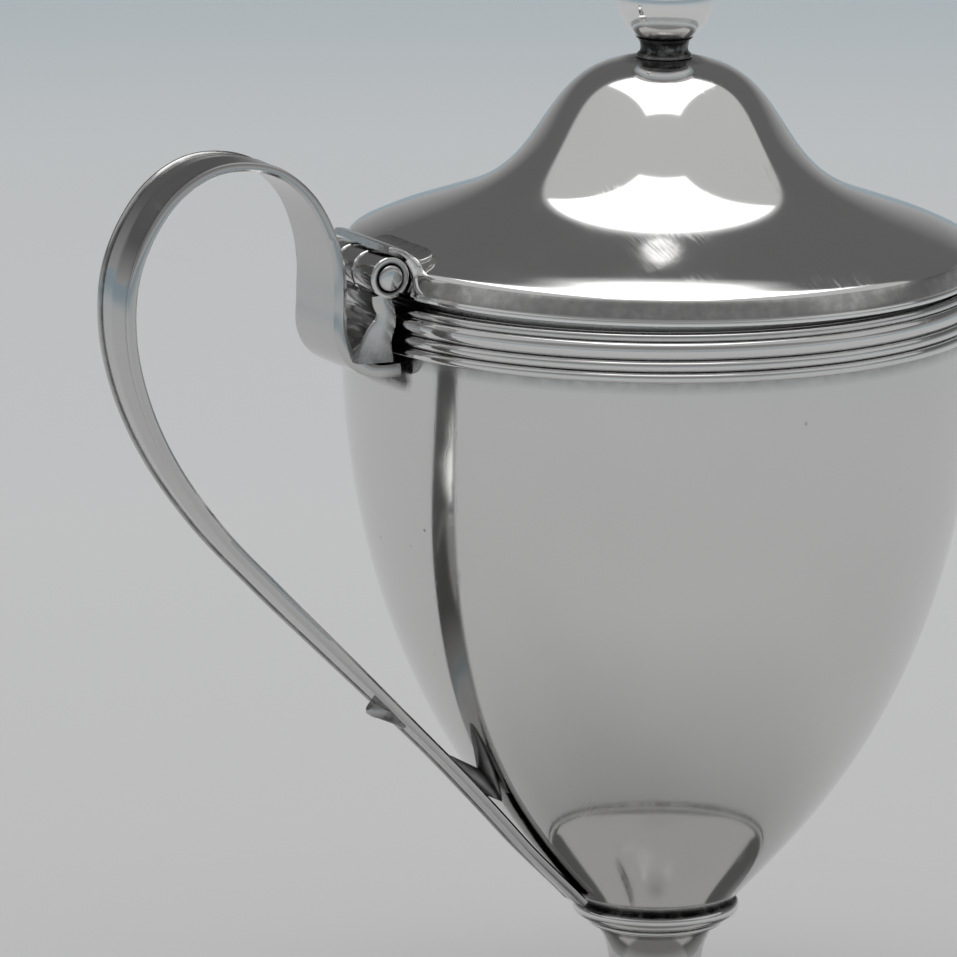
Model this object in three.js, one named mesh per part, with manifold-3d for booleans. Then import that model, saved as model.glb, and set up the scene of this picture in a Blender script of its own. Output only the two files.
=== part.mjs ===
// Covered silver pot: a thin-walled urn on a low spreading foot, with one strap handle and a domed lid
// that turns on a three-knuckle hinge beside the handle.
// Millimetres, +Z up. The handle points to -X. The origin is under the middle of the whole pot.
import * as THREE from 'three';
import { mergeVertices } from 'three/addons/utils/BufferGeometryUtils.js';
import Module from 'manifold-3d';

const wasm = await Module();
wasm.setup();

// ---- Driving dimensions --------------------------------------------------------------------
const BOWL_RADIUS = 31.1;       // outside of the bowl at its mouth
const BOWL_DEPTH = 58.55;       // from the collar up to the reeded band
const BOWL_WALL = 0.9;
const BOWL_FLOOR = 1.4;
const COLLAR_JOINT_RADIUS = 7.6; // flat under the bowl that is soldered to the collar
const COLLAR_HEIGHT = 2.5;
const COLLAR_RADIUS = 8.15;
const COLLAR_RIDGE_RADIUS = 6.6;
const FOOT_HEIGHT = 15.5;       // from the table up to the collar
const FOOT_RADIUS = 24.2;       // outside of the foot's skirt, without its wire
const FOOT_WALL = 1.3;
const FOOT_STEP = 2.5;          // the round shoulder above the skirt, both in width and in height
const STEM_TOP_RADIUS = 6.1;
const STEM_WAIST_RADIUS = 4.6;
const STEM_LENGTH = 4.2;        // from the collar down to the waist
const FOOT_WIRE = 1.1;          // how far the foot's wire stands out
const FOOT_WIRE_HEIGHT = 2.4;
const FOOT_SLOPE = 3.2;         // fall of the foot's spreading upper side over half its width

const REED_HEIGHTS = [1.1, 1.15, 1.75]; // from the lowest reed up
const REED_RISE = 0.9;          // how far the reeds stand out from the bowl
const GROOVE_RISE = 0.3;        // depth of metal left under the grooves
const RIM_WIRE_HEIGHT = 0.75;
const RIM_WIRE_RISE = 0.6;

const LID_OVERHANG = 0.3;       // the lid's edge beyond the bowl's mouth
const LID_RADIUS = BOWL_RADIUS + LID_OVERHANG;
const LID_EDGE = 0.45;          // thickness of the lid's edge
const LID_SHOULDER_RADIUS = 14.1; // where the convex shoulder turns into the hollow neck
const LID_SHOULDER_RISE = 9.35;
const LID_RISE = 19.9;          // top of the dome above the lid's edge
const LID_TOP_RADIUS = 2.4;
const LID_WALL = 0.8;
const LID_GAP = 0.85;           // from the rim to the lid, at the hinge
const LID_TILT = 0.6;           // degrees: the lid shuts lower at the far side
const BEZEL_WALL = 0.8;
const BEZEL_DEPTH = 1.8;        // how far the bezel reaches below the lid's edge
const BEZEL_CLEARANCE = 0.6;

const BALL_RADIUS = 4.7;
const BALL_FOOT_RADIUS = 2.7;
const NECK_RADIUS = 2.35;
const NECK_HEIGHT = 1.4;
const TIP_RADIUS = 1.5;
const TIP_HEIGHT = 2.6;
const STUD_RADIUS = 1.1;
const STUD_ENGAGEMENT = 4.0;    // length of the stud inside the ball
const NUT_RADIUS = 2.6;
const NUT_HEIGHT = 1.5;

const HINGE_REACH = 1.6;        // pin axis outside the bowl's mouth
const HINGE_RISE = 3.05;        // pin axis above the rim
const TUBE_RADIUS = 2.05;
const PIN_RADIUS = 1.3;
const END_TUBE = 3.8;
const MIDDLE_TUBE = 3.4;
const TUBE_PLAY = 0.15;         // end play between two tubes
const PIN_CLEARANCE = 0.06;
const PIN_HEAD = 0.25;          // peened end outside the last tube
const LEAF_WALL = 0.65;
const LEAF_LENGTH = 4.6;        // from the pin axis, over the lid's shoulder
const RUN_GAP = 0.3;            // between what turns and what stands still

// How wide and how thick the strap is, as [share of its length, size].
const STRAP_WIDTHS = [
  [0, 10.6], [0.03, 8.8], [0.08, 8.3], [0.19, 6.8], [0.45, 6.8], [0.63, 6.4], [0.84, 4.9], [1, 4.2],
];
const STRAP_THICKNESSES = [
  [0, 1.35], [0.08, 1.35], [0.19, 0.95], [0.44, 1.0], [0.63, 1.25], [0.84, 0.9], [1, 0.8],
];
const WEB_WIDTH = 2.8;
const WEB_PLACE = 0.85;         // share of the strap's length
const SPUR_WIDTH = 2.6;
const SPUR_HEIGHT = 1.4;        // how far the spur stands off the strap's outer face
const SPUR_PLACE = 0.776;       // share of the strap's length

const SOLDER_GAP = 0.3;         // left for solder where a cut piece meets its neighbour
const DRAW_STEPS = 12;          // steps along one curve of an outline
const RING_SIDES = 40;
const SMALL_SIDES = 20;

// ---- Levels ----------------------------------------------------------------------------------
const Z_BOWL = FOOT_HEIGHT + COLLAR_HEIGHT;
const Z_BAND = Z_BOWL + BOWL_DEPTH;
const BAND_HEIGHT = REED_HEIGHTS.reduce((sum, height) => sum + height, 0);
const Z_RIM = Z_BAND + BAND_HEIGHT + RIM_WIRE_HEIGHT;
const BAND_RADIUS = BOWL_RADIUS + REED_RISE;
const PIN_X = -(BOWL_RADIUS + HINGE_REACH);
const Z_PIN = Z_RIM + HINGE_RISE;
const BARREL = 2 * END_TUBE + MIDDLE_TUBE + 2 * TUBE_PLAY;
const HOOD_RADIUS = TUBE_RADIUS + RUN_GAP + LEAF_WALL;

// ---- Materials -------------------------------------------------------------------------------
const silver = (shade, roughness) => new THREE.MeshStandardMaterial({
  color: new THREE.Color(shade, shade, shade * 0.99),
  roughness,
  metalness: 1,
});

// ---- Curves and solids -----------------------------------------------------------------------
const flat = ([x, y]) => new THREE.Vector2(x, y);
const lerp = THREE.MathUtils.lerp;

// A smooth line through four control points, as [x, y] pairs.
function bezier(start, pull, push, end) {
  return new THREE.CubicBezierCurve(flat(start), flat(pull), flat(push), flat(end));
}

// The outline moved sideways by a distance, to the left of its direction.
function offset(points, distance) {
  return points.map((point, i) => {
    const ahead = points[Math.min(i + 1, points.length - 1)];
    const behind = points[Math.max(i - 1, 0)];
    const along = ahead.clone().sub(behind).normalize();
    return new THREE.Vector2(point.x - along.y * distance, point.y + along.x * distance);
  });
}

// The height of an outline where it crosses a radius.
function heightAt(points, radius) {
  for (let i = 1; i < points.length; i += 1) {
    const [a, b] = [points[i - 1], points[i]];
    if ((a.x - radius) * (b.x - radius) <= 0 && a.x !== b.x) {
      return lerp(a.y, b.y, (radius - a.x) / (b.x - a.x));
    }
  }
  return points[points.length - 1].y;
}

// A turned piece: the outline is [radius, height] and goes round anticlockwise.
function turn(points, sides = RING_SIDES) {
  const geometry = new THREE.LatheGeometry(points, sides);
  geometry.rotateX(Math.PI / 2);
  return geometry;
}

// A closed ring whose outline returns to its first point.
function turnRing(points, sides = RING_SIDES) {
  return turn([...points, points[0].clone()], sides);
}

// A plate cut to an outline in the X-Z plane, with its width along Y.
function plate(points, width) {
  const shape = new THREE.Shape(points);
  const geometry = new THREE.ExtrudeGeometry(shape, { depth: width, bevelEnabled: false });
  geometry.rotateX(Math.PI / 2);
  geometry.translate(0, width / 2, 0);
  return geometry;
}

// A round bar along Y, round the hinge's axis, between two places on it.
function hingeBar(radius, from, to, sides = 24) {
  const geometry = new THREE.CylinderGeometry(radius, radius, to - from, sides);
  geometry.translate(PIN_X, (from + to) / 2, -Z_PIN);
  geometry.applyMatrix4(new THREE.Matrix4().makeScale(1, 1, -1));
  geometry.index.array.reverse();
  return geometry;
}

// A body through sections with the same number of corners.
function loft(sections) {
  const corners = sections[0].length;
  const last = sections.length - 1;
  const index = [];
  for (let s = 0; s < last; s += 1) {
    for (let c = 0; c < corners; c += 1) {
      const a = s * corners + c;
      const b = s * corners + ((c + 1) % corners);
      index.push(a, b, a + corners, b, b + corners, a + corners);
    }
  }
  for (let c = 1; c < corners - 1; c += 1) {
    index.push(0, c + 1, c);
    index.push(last * corners, last * corners + c, last * corners + c + 1);
  }
  const geometry = new THREE.BufferGeometry().setFromPoints(sections.flat());
  geometry.setIndex(index);
  return geometry;
}

function toSolid(geometry) {
  const bare = geometry.clone();
  bare.deleteAttribute('normal');
  bare.deleteAttribute('uv');
  const merged = mergeVertices(bare);
  const corners = merged.index.array;
  const kept = [];
  for (let i = 0; i < corners.length; i += 3) {
    const [a, b, c] = [corners[i], corners[i + 1], corners[i + 2]];
    if (a !== b && b !== c && c !== a) {
      kept.push(a, b, c);
    }
  }
  return new wasm.Manifold(new wasm.Mesh({
    numProp: 3,
    vertProperties: merged.attributes.position.array,
    triVerts: new Uint32Array(kept),
  }));
}

function toGeometry(solid) {
  const mesh = solid.getMesh();
  const geometry = new THREE.BufferGeometry();
  geometry.setAttribute('position', new THREE.BufferAttribute(mesh.vertProperties, 3));
  geometry.setIndex(new THREE.BufferAttribute(mesh.triVerts, 1));
  geometry.computeVertexNormals();
  return geometry;
}

// A geometry with others cut out of it.
function cut(geometry, ...cutters) {
  return toGeometry(cutters.reduce((solid, cutter) => solid.subtract(toSolid(cutter)), toSolid(geometry)));
}

function add(group, name, geometry, material) {
  const mesh = new THREE.Mesh(geometry, material);
  mesh.name = name;
  group.add(mesh);
}

// ---- Bowl ------------------------------------------------------------------------------------
// The bowl's outer side, from the band down to the collar.
const bowlCurve = bezier(
  [BOWL_RADIUS, Z_BAND],
  [BOWL_RADIUS, lerp(Z_BAND, Z_BOWL, 0.6495)],
  [COLLAR_JOINT_RADIUS + 4.3, lerp(Z_BAND, Z_BOWL, 0.908)],
  [COLLAR_JOINT_RADIUS, Z_BOWL],
);

function bowlBody() {
  const outside = bowlCurve.getPoints(DRAW_STEPS);
  const inside = offset(outside, -BOWL_WALL).filter((point) => point.y > Z_BOWL + BOWL_FLOOR);
  return turn([
    flat([0, Z_BOWL]),
    ...outside.reverse(),
    flat([BOWL_RADIUS, Z_RIM]),
    flat([BOWL_RADIUS - BOWL_WALL, Z_RIM]),
    ...inside,
    flat([0, Z_BOWL + BOWL_FLOOR]),
  ]);
}

// The bowl's full outer shape, grown by the solder gap, to cut what is soldered to it.
function bowlCutter() {
  const outside = offset(bowlCurve.getPoints(DRAW_STEPS * 2), SOLDER_GAP).reverse();
  return turn([
    flat([0, Z_BOWL - SOLDER_GAP]),
    ...outside,
    flat([BAND_RADIUS + SOLDER_GAP, Z_BAND - SOLDER_GAP]),
    flat([BAND_RADIUS + SOLDER_GAP, Z_RIM + SOLDER_GAP]),
    flat([0, Z_RIM + SOLDER_GAP]),
  ], RING_SIDES * 2);
}

// Half-round mouldings one above another round the bowl's mouth.
function reededRing(inner, heights, base, rise, groove) {
  const steps = 4;
  const outline = [flat([inner, base])];
  let level = base;
  heights.forEach((height) => {
    for (let i = 0; i <= steps; i += 1) {
      const angle = (Math.PI * i) / steps;
      const reach = inner + groove + (rise - groove) * Math.sin(angle);
      outline.push(flat([reach, level + (height * (1 - Math.cos(angle))) / 2]));
    }
    outline.pop();
    level += height;
  });
  outline.push(flat([inner + groove, level]));
  outline.push(flat([inner, level]));
  return turnRing(outline);
}

// ---- Foot ------------------------------------------------------------------------------------
function footStem() {
  const waist = FOOT_HEIGHT - STEM_LENGTH;
  const skirt = FOOT_WIRE_HEIGHT + SOLDER_GAP;
  const step = FOOT_RADIUS - FOOT_STEP;
  const outside = [
    ...bezier([STEM_TOP_RADIUS, FOOT_HEIGHT], [STEM_TOP_RADIUS - 0.9, FOOT_HEIGHT - 1.0],
      [STEM_WAIST_RADIUS, waist + 1.6], [STEM_WAIST_RADIUS, waist]).getPoints(5),
    ...bezier([STEM_WAIST_RADIUS, waist], [STEM_WAIST_RADIUS, waist - 1.7],
      [step / 2, skirt + FOOT_STEP + FOOT_SLOPE], [step, skirt + FOOT_STEP]).getPoints(DRAW_STEPS).slice(1),
    ...bezier([step, skirt + FOOT_STEP], [step + FOOT_STEP / 2, skirt + FOOT_STEP - 0.2],
      [FOOT_RADIUS, skirt + FOOT_STEP / 2], [FOOT_RADIUS, skirt]).getPoints(5).slice(1),
  ];
  const roof = FOOT_HEIGHT - 2 * FOOT_WALL;
  const inside = offset(outside, -FOOT_WALL)
    .filter((point) => point.y < roof && point.x < FOOT_RADIUS - FOOT_WALL - 0.1);
  return turn([
    flat([0, roof]),
    ...inside,
    flat([FOOT_RADIUS - FOOT_WALL, skirt]),
    flat([FOOT_RADIUS - FOOT_WALL, 0]),
    flat([FOOT_RADIUS, 0]),
    ...outside.reverse(),
    flat([0, FOOT_HEIGHT]),
  ]);
}

function footCollar() {
  return turn([
    flat([0, FOOT_HEIGHT]),
    flat([COLLAR_RIDGE_RADIUS - 0.2, FOOT_HEIGHT]),
    flat([COLLAR_RIDGE_RADIUS, FOOT_HEIGHT + 0.25]),
    flat([COLLAR_RIDGE_RADIUS - 0.2, FOOT_HEIGHT + 0.5]),
    flat([COLLAR_RADIUS - 0.5, FOOT_HEIGHT + 0.85]),
    flat([COLLAR_RADIUS, FOOT_HEIGHT + 1.45]),
    flat([COLLAR_RADIUS - 0.3, FOOT_HEIGHT + 2.0]),
    flat([COLLAR_JOINT_RADIUS, Z_BOWL]),
    flat([0, Z_BOWL]),
  ]);
}

// ---- Handle ----------------------------------------------------------------------------------
// The strap's middle line, as reach from the bowl's mouth and rise above the band's lower edge.
const HANDLE_LOOP = [
  [0.3, -1.3], [2.7, -1.3], [4.9, -0.1], [6.05, 2], [6.1, 5.1], [6.15, 8.5], [6.95, 12], [8.8, 15.6],
  [11.8, 18.3], [15.35, 19.4], [19.15, 19.2], [22.85, 17.2], [25.7, 13.7], [27.45, 9.4], [27.75, 4],
  [26.45, -2.1], [23.5, -8.6],
];
// Below the loop the strap runs to its tail almost straight: [share of the way, bow].
const LEG_BOWS = [[0.18, 1.5], [0.35, 1.4], [0.52, 0.9], [0.69, 0.4], [0.85, 0]];
const TAIL_PLACES = [0.613, 0.699, 0.785, 0.871, 0.9355]; // along the bowl's curve
const TAIL_LIFT = 0.8;          // the tail leaves the bowl by this much at its first place

// The point that lies a distance off the bowl's side, on the handle's side.
function offBowl(place, distance) {
  const point = bowlCurve.getPoint(place);
  const along = bowlCurve.getTangent(place);
  return new THREE.Vector3(-(point.x - along.y * distance), 0, point.y + along.x * distance);
}

// A size that changes smoothly between stations given as [share, size].
function sizeAt(stations, share) {
  const next = Math.max(1, stations.findIndex(([place]) => place >= share));
  const [from, to] = [stations[next - 1], stations[next]];
  return lerp(from[1], to[1], THREE.MathUtils.smoothstep(share, from[0], to[0]));
}

function handleCurve() {
  const loop = HANDLE_LOOP.map(([reach, rise]) => (
    new THREE.Vector3(-(BOWL_RADIUS + reach), 0, Z_BAND + rise)
  ));
  const tail = TAIL_PLACES.map((place, i) => {
    const lift = TAIL_LIFT * (1 - i / (TAIL_PLACES.length - 1)) ** 2;
    return offBowl(place, SOLDER_GAP + sizeAt(STRAP_THICKNESSES, 1) / 2 + lift);
  });
  const leg = LEG_BOWS.map(([share, bow]) => {
    const point = loop[loop.length - 1].clone().lerp(tail[0], share);
    point.x -= bow;
    return point;
  });
  return new THREE.CatmullRomCurve3([...loop, ...leg, ...tail], false, 'centripetal');
}

const STRAP_STATIONS = 80;

function handleStrap(grow = 0) {
  const curve = handleCurve();
  const across = new THREE.Vector3(0, 1, 0);
  const sections = [];
  for (let i = 0; i <= STRAP_STATIONS; i += 1) {
    const share = i / STRAP_STATIONS;
    const middle = curve.getPointAt(share);
    const outward = curve.getTangentAt(share).cross(across).normalize();
    const side = across.clone().multiplyScalar(sizeAt(STRAP_WIDTHS, share) / 2 + grow);
    outward.multiplyScalar(sizeAt(STRAP_THICKNESSES, share) / 2 + grow);
    sections.push([
      middle.clone().add(outward).add(side),
      middle.clone().add(outward).sub(side),
      middle.clone().sub(outward).sub(side),
      middle.clone().sub(outward).add(side),
    ]);
  }
  return loft(sections);
}

// The fillet of solder between the strap's inner side and the bowl.
function handleWeb() {
  const top = offBowl(0.5215, 0);
  const low = offBowl(0.6237, 0);
  const out = handleCurve().getPointAt(WEB_PLACE);
  const outline = [[top.x, top.z], [low.x, low.z], [out.x, out.z]];
  return cut(plate(outline.map(flat), WEB_WIDTH), handleStrap(SOLDER_GAP), bowlCutter());
}

// The pointed end of the outer strip, standing a little off the strap.
function handleSpur() {
  const curve = handleCurve();
  const at = curve.getPointAt(SPUR_PLACE);
  const along = curve.getTangentAt(SPUR_PLACE);
  const outward = new THREE.Vector3(0, 1, 0).cross(along);
  const face = sizeAt(STRAP_THICKNESSES, SPUR_PLACE) / 2;
  const corner = (run, out) => {
    const point = at.clone().addScaledVector(along, run).addScaledVector(outward, out);
    return flat([point.x, point.z]);
  };
  const outline = [
    corner(-1.1, 0), corner(-1.6, face + SPUR_HEIGHT), corner(0.1, face + 0.9), corner(2.6, 0),
  ];
  return cut(plate(outline, SPUR_WIDTH), handleStrap(SOLDER_GAP));
}

// ---- Hinge -----------------------------------------------------------------------------------
function hingeTube(from, to) {
  return cut(hingeBar(TUBE_RADIUS, from, to), hingeBar(PIN_RADIUS + PIN_CLEARANCE, from - 1, to + 1));
}

// The S-shaped bracket that stands on the handle's foot and holds the two outer tubes.
function hingeBracket() {
  const outline = [
    [-BOWL_RADIUS + 1, Z_BAND - 0.6],
    [PIN_X - 4.3, Z_BAND - 0.6],
    [PIN_X - 4.0, Z_BAND + 2.0],
    [PIN_X - 3.5, Z_BAND + 4.1],
    [PIN_X - 2.6, Z_PIN - 2.3],
    [PIN_X - 2.2, Z_PIN - 1.1],
    [PIN_X + 0.7, Z_PIN - 1.1],
    [PIN_X + 0.7, Z_RIM - 0.5],
    [-BOWL_RADIUS + 1, Z_RIM - 0.5],
  ];
  const middle = MIDDLE_TUBE / 2 + TUBE_PLAY;
  return cut(
    plate(outline.map(flat), BARREL),
    handleStrap(SOLDER_GAP),
    bowlCutter(),
    hingeBar(TUBE_RADIUS + SOLDER_GAP, -BARREL, BARREL),
    hingeBar(HOOD_RADIUS, -middle, middle),
  );
}

// The leaf that hoods the tubes and is soldered to the lid's shoulder.
function hingeLeaf() {
  const hood = [];
  for (let degrees = 95; degrees >= -40; degrees -= 15) {
    const angle = THREE.MathUtils.degToRad(degrees);
    hood.push(flat([PIN_X + HOOD_RADIUS * Math.cos(angle), Z_PIN + HOOD_RADIUS * Math.sin(angle)]));
  }
  hood.push(flat([PIN_X, Z_PIN]));
  const roof = [
    [PIN_X, Z_PIN + HOOD_RADIUS],
    [PIN_X + 1.2, Z_PIN + HOOD_RADIUS - 0.2],
    [PIN_X + LEAF_LENGTH, Z_PIN + 1.5],
    [PIN_X + LEAF_LENGTH, Z_PIN - 1],
    [PIN_X, Z_PIN - 1],
  ].map(flat);
  const bore = hingeBar(HOOD_RADIUS - LEAF_WALL / 2, -BARREL, BARREL);
  const shoulder = cut(plate(roof, BARREL), lidCutter(), bore);
  const whole = toGeometry(toSolid(plate(hood, BARREL)).add(toSolid(shoulder)));
  return cut(whole, hingeBar(TUBE_RADIUS + RUN_GAP, -BARREL, BARREL));
}

// ---- Lid -------------------------------------------------------------------------------------
const Z_LID = Z_RIM + LID_GAP;
const Z_EDGE = Z_LID + LID_EDGE;

// The lid's upper side, from its edge to the finial.
function lidOutline() {
  const shoulder = [LID_SHOULDER_RADIUS, Z_EDGE + LID_SHOULDER_RISE];
  return [
    ...bezier([LID_RADIUS - 0.1, Z_EDGE], [LID_RADIUS - 0.7, Z_EDGE + 3.4],
      [LID_SHOULDER_RADIUS + 2.7, shoulder[1] - 4.0], shoulder).getPoints(DRAW_STEPS - 3),
    ...bezier(shoulder, [LID_SHOULDER_RADIUS - 4.2, shoulder[1] + 6.2],
      [LID_TOP_RADIUS + 6.0, Z_EDGE + LID_RISE - 1.3],
      [LID_TOP_RADIUS, Z_EDGE + LID_RISE]).getPoints(DRAW_STEPS - 3).slice(1),
  ];
}

const STUD_HOLE = STUD_RADIUS + SOLDER_GAP;
const lidTop = lidOutline();
const lidUnder = offset(lidTop, LID_WALL);

function lidDome() {
  const under = lidUnder.filter((point) => point.x > STUD_HOLE).reverse();
  const shell = turnRing([
    flat([STUD_HOLE, Z_EDGE + LID_RISE - LID_WALL]),
    ...under,
    flat([LID_RADIUS - LID_WALL, Z_LID]),
    flat([LID_RADIUS, Z_LID]),
    flat([LID_RADIUS, Z_EDGE]),
    ...lidTop,
    flat([STUD_HOLE, Z_EDGE + LID_RISE]),
  ]);
  return cut(shell, hingeNotch());
}

// The room for the leaf's hood in the lid's edge.
function hingeNotch() {
  const end = BARREL / 2 + SOLDER_GAP;
  return hingeBar(HOOD_RADIUS + SOLDER_GAP, -end, end);
}

// The lid's full shape, grown by the solder gap, to cut the leaf.
function lidCutter() {
  return turn([
    flat([0, Z_LID - SOLDER_GAP]),
    flat([LID_RADIUS, Z_LID - SOLDER_GAP]),
    ...offset(lidTop, -SOLDER_GAP),
    flat([0, Z_EDGE + LID_RISE + SOLDER_GAP]),
  ], RING_SIDES * 2);
}

function lidBezel() {
  const outer = BOWL_RADIUS - BOWL_WALL - BEZEL_CLEARANCE;
  const inner = outer - BEZEL_WALL;
  const top = heightAt(lidUnder, outer) - SOLDER_GAP;
  const low = Z_LID - BEZEL_DEPTH;
  return cut(turnRing([[inner, low], [outer, low], [outer, top], [inner, top]].map(flat)), hingeNotch());
}

// ---- Finial ----------------------------------------------------------------------------------
const Z_NECK = Z_EDGE + LID_RISE + SOLDER_GAP;
const Z_BALL_FOOT = Z_NECK + NECK_HEIGHT + SOLDER_GAP;
const Z_BALL = Z_BALL_FOOT + Math.sqrt(BALL_RADIUS ** 2 - BALL_FOOT_RADIUS ** 2);

function finialNeck() {
  const top = Z_NECK + NECK_HEIGHT;
  return turnRing([
    [STUD_HOLE, Z_NECK], [NECK_RADIUS + 0.15, Z_NECK], [NECK_RADIUS, Z_NECK + 0.4],
    [NECK_RADIUS, top - 0.4], [BALL_FOOT_RADIUS, top], [STUD_HOLE, top],
  ].map(flat), SMALL_SIDES);
}

function finialBall() {
  const steps = 12;
  const low = Math.asin((Z_BALL_FOOT - Z_BALL) / BALL_RADIUS);
  const high = Math.acos(TIP_RADIUS / BALL_RADIUS);
  const outside = [];
  for (let i = 0; i <= steps; i += 1) {
    const angle = lerp(low, high, i / steps);
    outside.push(flat([BALL_RADIUS * Math.cos(angle), Z_BALL + BALL_RADIUS * Math.sin(angle)]));
  }
  const roof = Z_BALL_FOOT + STUD_ENGAGEMENT + SOLDER_GAP;
  const crown = outside[outside.length - 1].y;
  return turn([
    flat([0, roof]),
    flat([STUD_HOLE, roof]),
    flat([STUD_HOLE, Z_BALL_FOOT]),
    ...outside,
    flat([0, crown]),
  ], SMALL_SIDES);
}

function finialTip() {
  const base = Z_BALL + Math.sqrt(BALL_RADIUS ** 2 - TIP_RADIUS ** 2) + SOLDER_GAP;
  return turn([
    flat([0, base]),
    flat([TIP_RADIUS * 0.7, base]),
    flat([TIP_RADIUS, base + TIP_HEIGHT * 0.4]),
    flat([TIP_RADIUS * 0.7, base + TIP_HEIGHT * 0.8]),
    flat([0, base + TIP_HEIGHT]),
  ], SMALL_SIDES);
}

const Z_NUT_TOP = heightAt(lidUnder, NUT_RADIUS) - SOLDER_GAP;

function finialStud() {
  const low = Z_NUT_TOP - NUT_HEIGHT - 0.6;
  const high = Z_BALL_FOOT + STUD_ENGAGEMENT;
  return turn([[0, low], [STUD_RADIUS, low], [STUD_RADIUS, high], [0, high]].map(flat), SMALL_SIDES);
}

function finialNut() {
  const low = Z_NUT_TOP - NUT_HEIGHT;
  return turnRing([
    [STUD_HOLE, low], [NUT_RADIUS, low], [NUT_RADIUS, Z_NUT_TOP], [STUD_HOLE, Z_NUT_TOP],
  ].map(flat), 6);
}

// ---- Assembly --------------------------------------------------------------------------------
function vessel() {
  const group = new THREE.Group();
  const middle = MIDDLE_TUBE / 2 + TUBE_PLAY;
  const end = BARREL / 2;
  add(group, 'bowl_body', bowlBody(), silver(0.78, 0.2));
  const band = reededRing(BOWL_RADIUS, REED_HEIGHTS, Z_BAND, REED_RISE, GROOVE_RISE);
  const wire = reededRing(
    BOWL_RADIUS, [RIM_WIRE_HEIGHT], Z_BAND + BAND_HEIGHT, RIM_WIRE_RISE, GROOVE_RISE,
  );
  add(group, 'reeded_band', band, silver(0.72, 0.25));
  add(group, 'rim_wire', wire, silver(0.74, 0.22));
  add(group, 'foot_collar', footCollar(), silver(0.7, 0.25));
  add(group, 'foot_stem', footStem(), silver(0.76, 0.22));
  const footReeds = [FOOT_WIRE_HEIGHT / 2, FOOT_WIRE_HEIGHT / 2];
  const footWire = reededRing(FOOT_RADIUS, footReeds, SOLDER_GAP, FOOT_WIRE, GROOVE_RISE);
  add(group, 'foot_rim_wire', footWire, silver(0.72, 0.25));
  add(group, 'handle_strap', cut(handleStrap(), bowlCutter()), silver(0.74, 0.24));
  add(group, 'handle_web', handleWeb(), silver(0.45, 0.4));
  add(group, 'handle_spur', handleSpur(), silver(0.6, 0.35));
  add(group, 'hinge_bracket', hingeBracket(), silver(0.6, 0.3));
  add(group, 'hinge_tube_near', hingeTube(-end, -middle), silver(0.66, 0.28));
  add(group, 'hinge_tube_far', hingeTube(middle, end), silver(0.66, 0.28));
  add(group, 'hinge_pin', hingeBar(PIN_RADIUS, -end - PIN_HEAD, end + PIN_HEAD), silver(0.7, 0.25));
  return group;
}

// The cover is drawn level and then tipped about the hinge's axis.
function cover() {
  const parts = new THREE.Group();
  add(parts, 'lid_dome', lidDome(), silver(0.74, 0.18));
  add(parts, 'lid_bezel', lidBezel(), silver(0.7, 0.3));
  add(parts, 'hinge_leaf', hingeLeaf(), silver(0.68, 0.25));
  add(parts, 'hinge_tube_middle', hingeTube(-MIDDLE_TUBE / 2, MIDDLE_TUBE / 2), silver(0.66, 0.28));
  add(parts, 'finial_neck', finialNeck(), silver(0.66, 0.25));
  add(parts, 'finial_ball', finialBall(), silver(0.76, 0.18));
  add(parts, 'finial_tip', finialTip(), silver(0.74, 0.2));
  add(parts, 'finial_stud', finialStud(), silver(0.6, 0.35));
  add(parts, 'finial_nut', finialNut(), silver(0.6, 0.35));
  parts.position.set(-PIN_X, 0, -Z_PIN);
  const tipped = new THREE.Group();
  tipped.add(parts);
  tipped.rotation.y = THREE.MathUtils.degToRad(LID_TILT);
  tipped.position.set(PIN_X, 0, Z_PIN);
  return tipped;
}

const pot = new THREE.Group();
pot.add(vessel(), cover());
pot.updateMatrixWorld(true);
const centre = new THREE.Box3().setFromObject(pot, true).getCenter(new THREE.Vector3());
pot.position.set(-centre.x, -centre.y, 0);
pot.updateMatrixWorld(true);

export default pot;
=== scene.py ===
"""Looks of the covered silver pot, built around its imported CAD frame. Metres, +Z up, handle to -X.

Helpers draw in millimetres round the bowl's axis; place() turns that into the frame's metres.
"""

import math

import bmesh
import bpy
import numpy as np
from mathutils import Matrix, Vector


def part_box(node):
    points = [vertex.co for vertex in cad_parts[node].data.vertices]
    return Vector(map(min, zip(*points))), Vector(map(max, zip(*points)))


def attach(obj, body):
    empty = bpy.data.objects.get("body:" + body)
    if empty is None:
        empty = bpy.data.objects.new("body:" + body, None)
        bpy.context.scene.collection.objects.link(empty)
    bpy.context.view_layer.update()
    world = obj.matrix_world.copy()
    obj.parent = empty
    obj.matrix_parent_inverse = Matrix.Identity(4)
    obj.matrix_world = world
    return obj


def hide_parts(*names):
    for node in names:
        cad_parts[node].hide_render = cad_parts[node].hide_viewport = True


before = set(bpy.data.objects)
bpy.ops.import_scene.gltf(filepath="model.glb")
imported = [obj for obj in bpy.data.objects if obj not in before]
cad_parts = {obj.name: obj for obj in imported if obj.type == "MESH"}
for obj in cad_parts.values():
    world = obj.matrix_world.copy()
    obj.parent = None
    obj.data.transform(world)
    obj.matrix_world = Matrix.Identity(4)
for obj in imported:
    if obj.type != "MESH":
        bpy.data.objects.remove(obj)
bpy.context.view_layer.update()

MM = 0.001


# ---- Places taken from the frame, in millimetres ---------------------------------------------------
def span(node):
    """Lowest and highest corner of a CAD node, in millimetres."""
    low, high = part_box(node)
    return np.array(low) / MM, np.array(high) / MM


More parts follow.
